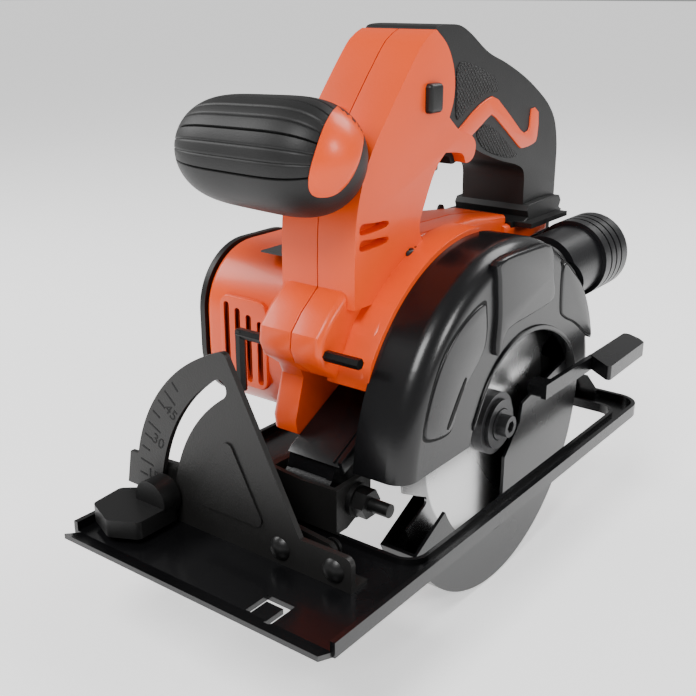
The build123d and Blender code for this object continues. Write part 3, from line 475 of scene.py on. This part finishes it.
class SAW_OT_housing(bpy.types.Operator):
    """Build the housing halves and their seam, gear shoulder, dock band, motor barrel and vents"""
    bl_idname = "saw.housing"
    bl_label = "Housing"

    def execute(self, context):
        radius = context.scene.saw_sizes.neck_round / MM
        lower = LOWER + BELLY + LOWER_REAR
        halves = ((SEAM_X + SEAM_GAP, RIGHT_X + 0.6, LOW_RIGHT_X, "housing_shell_right", "housing_right"),
                  (SEAM_X - SEAM_GAP, LEFT_X - 0.6, LEFT_X, "housing_shell_left", "housing_left"))
        for inner, outer, low_outer, name, node in halves:
            bm = bmesh.new()
            add_slab(bm, NECK, inner, outer, round_low=0.3, round_high=radius, segments=8,
                     crisp=lambda y, z: y > -16 and z > 160 or z < 94)
            piece = finish_piece(name, bm, "housing_orange", "saw_body", (node,))
            slots = []
            for z in (115.5, 122):
                outline = [(-66, z), (-58, z - 0.5), (-48, z + 0.3), (-47.5, z + 2.6), (-57, z + 3.2),
                           (-65, z + 4)]
                near = min(outer, inner * 0.3 + outer * 0.7)
                far = outer + (4 if outer > inner else -4)
                slots.append(slab_mesh(smooth_line(outline, 3, True), near, far))
            cut_away(piece, *slots)
            low = slab_mesh(lower, inner, low_outer, round_low=0.3, round_high=5.0, segments=6)
            piece = finish_piece(name + "_low", low, "housing_orange", "saw_body")
            room = [(-95, 66), (-80, 64), (-45, 62.5), (-30, 62), (-30, 18), (-95, 18)]
            cut_away(piece, slab_mesh(room, -46.4, -10))
        flare = slab_mesh(FLARE, -33, -13, round_high=3.2, segments=6, crisp=lambda y, z: y > -40 and z < 97)
        turns = [math.radians(a) for a in range(86, 149, 2)]
        crest = [(CREST_R * math.cos(a), ARBOR_Z + CREST_R * math.sin(a)) for a in turns]
        add_slab(flare, crest + [(-75.5, 66), (-75, 62), (6, 62)], -26, -11.9, round_high=1.6, segments=4,
                 crisp=lambda y, z: y > 0 or z < 70)
        finish_piece("gear_shoulder", flare, "housing_orange", "saw_body")
        band = slab_mesh([(54, 90), (101, 93), (101, 102), (54, 104)], -68.2, -25, round_low=3, round_high=3)
        finish_piece("dock_band", band, "housing_orange", "saw_body")
        barrel = slab_mesh(rounded_box((-61, 25), (19, 102), 30, 14), -58, -116, round_high=4.5, segments=8)
        piece = finish_piece("motor_barrel", barrel, "housing_orange", "saw_body")
        cut_away(piece, *vent_cutters(-56))
        core = bmesh.new()
        add_slab(core, [(-20 + (y + 20) * 0.9, 130 + (z - 130) * 0.93) for y, z in NECK], -56, -29)
        finish_piece("neck_core", core, "dark_gap", "saw_body")
        frame_bm = bmesh.new()
        add_slab(frame_bm, rounded_box((-105.5, 41.5), (-77.5, 83), 5), -59.5, -61.7, "Y", round_high=0.7)
        rim = finish_piece("vent_frame", frame_bm, "housing_orange", "saw_body")
        cut_away(rim, *vent_cutters(-55))
        dark = slab_mesh(rounded_box((-105, 42), (-79, 82), 3), -58.5, -56.5, "Y")
        finish_piece("vent_screen", dark, "dark_gap", "saw_body")
        return {"FINISHED"}


class SAW_OT_grips(bpy.types.Operator):
    """Build the main grip with its stripe and tread, and the bulb-shaped front grip"""
    bl_idname = "saw.grips"
    bl_label = "Grips"

    def execute(self, context):
        sizes = context.scene.saw_sizes
        bm = slab_mesh(GRIP, LEFT_X + 0.6, RIGHT_X - 0.6, round_low=sizes.grip_round / MM,
                       round_high=sizes.grip_round / MM, segments=10,
                       crisp=lambda y, z: y < 2 and 160 < z < 192)
        foot = smooth_line([(64, 103), (106, 103), (104.6, 106), (104, 112), (71, 112), (70.4, 106)], 2, True)
        add_slab(bm, foot, -63, -21, round_low=3.0, round_high=3.0)
        finish_piece("main_grip_skin", bm, "grip_rubber", "saw_body", ("main_grip",))
        stripe = smooth_line(STRIPE, 2, True)
        band = bmesh.new()
        for inner, outer in ((-30.0, RIGHT_X + 0.1), (LEFT_X + 6.0, LEFT_X - 0.1)):
            add_slab(band, stripe, inner, outer, round_high=1.2, segments=4)
        finish_piece("grip_stripe", band, "housing_orange", "saw_body")
        tread = bmesh.new()
        for patch in (TREAD_PATCH, TREAD_LOW):
            for inner, outer in ((-30.0, RIGHT_X - 0.15), (LEFT_X + 6.0, LEFT_X + 0.15)):
                add_slab(tread, smooth_line(patch, 4, True), inner, outer, round_high=0.5, segments=2)
        finish_piece("grip_tread_patch", tread, "grip_tread", "saw_body")
        self.bulb(sizes.groove_depth)
        return {"FINISHED"}

    centre = Vector((-60.5, -77, 151.5))
    half = Vector((43.0, 24.5, 23.8))

    def girth(self, t):
        """The bulb's share of its full thickness at t from -1 to 1 along its length."""
        return (1 - abs(t) ** 4.2) ** 0.55 * (0.94 + 0.06 * t)

    def bulb(self, groove):
        """The front grip: a stretched bulb with long grooves and an inset in its right-hand end."""
        centre, half = self.centre * MM, self.half * MM
        bm = bmesh.new()
        bmesh.ops.create_uvsphere(bm, u_segments=240, v_segments=90, radius=1.0)
        bmesh.ops.rotate(bm, verts=bm.verts, matrix=Matrix.Rotation(math.radians(90), 3, "Y"))
        for vert in bm.verts:
            x, y, z = vert.co
            across = max(1e-6, math.hypot(y, z))
            around = math.degrees(math.atan2(z, -y))
            wave = abs(((around + 12) / 14.5) % 1.0 - 0.5) * 2
            cut = max(0.0, 1 - (1 - wave) / 0.13) if -14 < around < 112 and abs(x) < 0.97 else 0.0
            t = math.copysign(1 - (1 - abs(x)) ** 0.8, x)
            ring = self.girth(t) / across if across > 1e-5 else 0.0
            skin = Vector((t * half.x, y * ring * half.y, z * ring * half.z))
            vert.co = centre + skin - Vector((0, y, z)) / across * groove * cut
        finish_piece("front_grip_bulb", bm, "grip_rubber", "saw_body", ("front_grip",),
                     sharp=60)
        facing = Vector((0.74, -0.655, 0.14)).normalized()
        side = Vector((0.66, 0.75, 0)).normalized()
        rise = facing.cross(side)
        if rise.z < 0:
            rise = -rise
        oval = bmesh.new()
        rings = []
        for k in range(15):
            share = min(1.0, k / 12)
            loop = []
            for i in range(72):
                a = math.tau * i / 72
                u = math.copysign(abs(math.cos(a)) ** 0.8, math.cos(a)) * 9.6 * share
                v = math.copysign(abs(math.sin(a)) ** 0.8, math.sin(a)) * 16.8 * share
                spot = Vector((-28, -76.0, 155.5)) + side * (u + v * 0.38) + rise * v
                depth = self.surface(spot, facing) + (0.8 if k < 13 else -2.0 * (k - 12) + 0.8)
                loop.append(oval.verts.new((spot + facing * depth) * MM))
            rings.append(loop)
        for a, b in zip(rings[1:], rings[2:]):
            for i in range(72):
                oval.faces.new((a[i], a[(i + 1) % 72], b[(i + 1) % 72], b[i]))
        oval.faces.new(rings[1])
        for vert in rings[0]:
            oval.verts.remove(vert)
        finish_piece("front_grip_inset", oval, "housing_orange", "saw_body",
                     ("front_grip_cap",), sharp=50)

    def surface(self, spot, facing):
        """How far along facing the bulb's surface lies from a spot, found by halving."""
        inside, outside = -30.0, 30.0
        for _ in range(30):
            middle = (inside + outside) / 2
            local = spot + facing * middle - self.centre
            t = local.x / self.half.x
            full = self.girth(t) if abs(t) < 1 else 0.0
            if math.hypot(local.y / self.half.y, local.z / self.half.z) < full:
                inside = middle
            else:
                outside = middle
        return inside


class SAW_OT_guards(bpy.types.Operator):
    """Build the guard's panels, pad and arch lip, and the ramp in front of it"""
    bl_idname = "saw.guards"
    bl_label = "Guards"

    def execute(self, context):
        for name, points in (("front", PANEL_FRONT), ("rear", PANEL_REAR)):
            line = smooth_line(points, 4, True)
            middle = [sum(p[k] for p in points) / len(points) for k in (0, 1)]
            wide = [tuple(m + (c - m) * 1.045 for c, m in zip(p, middle)) for p in line]
            # painted shade: a thin near-black inlay just outside each panel stands in for the shade in the
            # groove round it
            groove = slab_mesh(wide, 11.0, 12.08)
            finish_piece(f"guard_groove_shade_{name}", groove, "dark_gap", "saw_body")
            panel = slab_mesh(line, 11.0, 12.7, round_high=0.9, segments=4)
            finish_piece(f"guard_panel_{name}", panel, "guard_black", "saw_body")
        slot = slab_mesh(smooth_line([(-44, 62.5), (-42.5, 62), (-53, 47), (-55, 47.5)], 3, True), 11.5, 12.9)
        finish_piece("guard_slot", slot, "dark_gap", "saw_body")
        pad = slab_mesh(smooth_line(PAD, 3, True), 10.5, 14.6, round_high=1.8, segments=6)
        finish_piece("guard_pad", pad, "guard_black", "saw_body")
        lip = bmesh.new()
        arch = smooth_line(ARCH, 5)
        inner = [(y, z - 2.6) for y, z in arch[::-1]]
        add_slab(lip, arch + inner, 8.0, 13.0, round_high=1.2, segments=4)
        finish_piece("guard_arch_lip", lip, "guard_black", "saw_body")
        ramp = bmesh.new()
        slope = [(-85.5, 31), (-83, 33), (-16, 67.4), (-16, 63), (-82, 29)]
        add_slab(ramp, slope, -46.3, -19, round_low=0.8, round_high=0.8)
        cheek = [(-85.5, 33.2), (-50, 51.5), (-50, 45), (-62, 37), (-84, 27.5)]
        add_slab(ramp, cheek, -19.8, -17.6, round_high=0.7)
        strip = [(-85, 32.6), (-50, 50.8), (-50, 49.8), (-84, 31)]
        add_slab(ramp, strip, -23, -21.8, round_high=0.3, round_low=0.3)
        finish_piece("ramp_skin", ramp, "guard_black", "saw_body")
        return {"FINISHED"}


class SAW_OT_buttons(bpy.types.Operator):
    """Build the trigger and the two push buttons with soft edges"""
    bl_idname = "saw.buttons"
    bl_label = "Buttons"

    def execute(self, context):
        profile = [(-8, 148.5), (-7.4, 152.3), (7, 152.3), (8, 147), (9, 140), (8.6, 136), (5, 135.2),
                   (0, 139.5), (-5, 144.5)]
        finish_piece("trigger_blade", slab_mesh(profile, -49, -35, round_low=1.8, round_high=1.8, segments=4),
                     "lever_plastic", "trigger", ("trigger",))
        button = bmesh.new()
        add_slab(button, rounded_box((-22, 164), (-12, 176), 2), -32, -20.4, round_high=1.8, segments=4)
        finish_piece("lock_off_cap", button, "lever_plastic", "lock_off_button",
                     ("lock_off_button",))
        block = bmesh.new()
        add_slab(block, rounded_box((-34, 97), (-12, 109.3), 1.2), -34, -22, round_high=0.9, segments=3)
        for k in range(5):
            add_slab(block, rounded_box((-31.8 + 4 * k, 108.8), (-29.8 + 4 * k, 110), 0.4), -33.5, -22.6)
        finish_piece("spindle_lock_cap", block, "lever_plastic", "spindle_lock_button",
                     ("spindle_lock_button",))
        return {"FINISHED"}


class SAW_OT_scale(bpy.types.Operator):
    """Mark the bevel quadrant with its scale lines and numbers"""
    bl_idname = "saw.scale"
    bl_label = "Bevel scale"

    def execute(self, context):
        hub, radius, face_y = (-25.2, 10.0), 77.2, -119.0
        bm = bmesh.new()
        for step in range(0, 51, 5):
            a = math.radians(180 - (step - 3.5))
            inner = radius - (9.5 if step % 15 == 0 else 6.5)
            side = Vector((-math.sin(a), math.cos(a))) * 0.4
            spoke = Vector((math.cos(a), math.sin(a)))
            start = Vector(hub) + spoke * inner
            end = Vector(hub) + spoke * (radius - 1.8)
            corners = [tuple(p) for p in (start - side, end - side, end + side, start + side)]
            add_slab(bm, corners, face_y - 0.06, face_y + 0.2, "Y")
        finish_piece("scale_lines", bm, "scale_ink", "base")
        for number in (15, 30, 45):
            a = math.radians(180 - (number - 3.5) + 4.0)
            text = bpy.data.curves.new(f"digits_{number}", "FONT")
            text.body = str(number)
            text.size = 7.0 * MM
            text.extrude = 0.08 * MM
            text.align_x = "CENTER"
            text.align_y = "CENTER"
            holder = bpy.data.objects.new("digits", text)
            bpy.context.scene.collection.objects.link(holder)
            bpy.context.view_layer.update()
            ready = holder.evaluated_get(bpy.context.evaluated_depsgraph_get())
            mesh = bpy.data.meshes.new_from_object(ready)
            bpy.data.objects.remove(holder)
            spot = Vector((hub[0] + 67.5 * math.cos(a), face_y, hub[1] + 67.5 * math.sin(a))) * MM
            tilt = Matrix.Rotation(-(a - math.pi), 4, "Y") @ Matrix.Rotation(math.radians(90), 4, "X")
            mesh.transform(Matrix.Translation(spot) @ tilt)
            bm = bmesh.new()
            bm.from_mesh(mesh)
            finish_piece(f"scale_number_{number}", bm, "scale_ink", "base")
        return {"FINISHED"}


class SAW_OT_stage(bpy.types.Operator):
    """Set up the floor, the soft lights and the camera"""
    bl_idname = "saw.stage"
    bl_label = "Stage"

    def execute(self, context):
        bm = bmesh.new()
        bmesh.ops.create_grid(bm, x_segments=1, y_segments=1, size=30.0)
        bmesh.ops.translate(bm, verts=bm.verts, vec=(0, 0, cad_box[0][2] - FLOOR_GAP))
        mesh = bpy.data.meshes.new("floor")
        bm.to_mesh(mesh)
        bm.free()
        floor = bpy.data.objects.new("floor", mesh)
        context.scene.collection.objects.link(floor)
        paper = bpy.data.materials.new("floor_paper")
        paper.use_nodes = True
        surface = paper.node_tree.nodes["Principled BSDF"].inputs
        surface["Base Color"].default_value = (0.9, 0.9, 0.9, 1)
        surface["Roughness"].default_value = 0.9
        surface["Emission Color"].default_value = (1, 1, 1, 1)
        surface["Emission Strength"].default_value = 0.75
        floor.data.materials.append(paper)
        world = bpy.data.worlds.new("studio")
        world.use_nodes = True
        world.node_tree.nodes["Background"].inputs["Color"].default_value = (1, 1, 1, 1)
        world.node_tree.nodes["Background"].inputs["Strength"].default_value = 0.34
        context.scene.world = world
        lamps = (("key", (0.1, -0.9, 1.15), 0.5, 15), ("left", (-1.0, -0.35, 0.7), 0.5, 8),
                 ("back", (0.3, 0.9, 1.0), 0.6, 9), ("right", (1.05, 0.1, 0.6), 0.3, 5))
        for name, spot, size, power in lamps:
            lamp = bpy.data.lights.new(name, "AREA")
            lamp.size = size
            lamp.energy = power
            holder = bpy.data.objects.new(name, lamp)
            holder.location = spot
            holder.rotation_euler = (Vector((0, 0, 0.08)) - Vector(spot)).to_track_quat("-Z", "Y").to_euler()
            context.scene.collection.objects.link(holder)
        camera = bpy.data.cameras.new("camera")
        camera.lens = CAMERA_LENS
        view = bpy.data.objects.new("camera", camera)
        view.location = CAMERA_SPOT
        view.rotation_euler = [math.radians(a) for a in CAMERA_TURN]
        context.scene.collection.objects.link(view)
        context.scene.camera = view
        return {"FINISHED"}


class SAW_PT_panel(bpy.types.Panel):
    """Lists every step of the saw's build"""
    bl_idname = "SAW_PT_panel"
    bl_label = "Circular saw"
    bl_space_type = "VIEW_3D"
    bl_region_type = "UI"
    bl_category = "Circular saw"

    def draw(self, context):
        for step in STEPS:
            self.layout.operator(step.bl_idname)


STEPS = (SAW_OT_finishes, SAW_OT_housing, SAW_OT_grips, SAW_OT_guards, SAW_OT_buttons, SAW_OT_scale,
         SAW_OT_stage)
CLASSES = (SawColours, SawSizes, *STEPS, SAW_PT_panel)


def register():
    for item in CLASSES:
        bpy.utils.register_class(item)
    bpy.types.Scene.saw_colours = bpy.props.PointerProperty(type=SawColours)
    bpy.types.Scene.saw_sizes = bpy.props.PointerProperty(type=SawSizes)


def unregister():
    del bpy.types.Scene.saw_sizes
    del bpy.types.Scene.saw_colours
    for item in reversed(CLASSES):
        bpy.utils.unregister_class(item)


def main():
    register()
    bpy.ops.saw.finishes()
    bpy.ops.saw.housing()
    bpy.ops.saw.grips()
    bpy.ops.saw.guards()
    bpy.ops.saw.buttons()
    bpy.ops.saw.scale()
    bpy.ops.saw.stage()


if __name__ == "__main__":
    main()
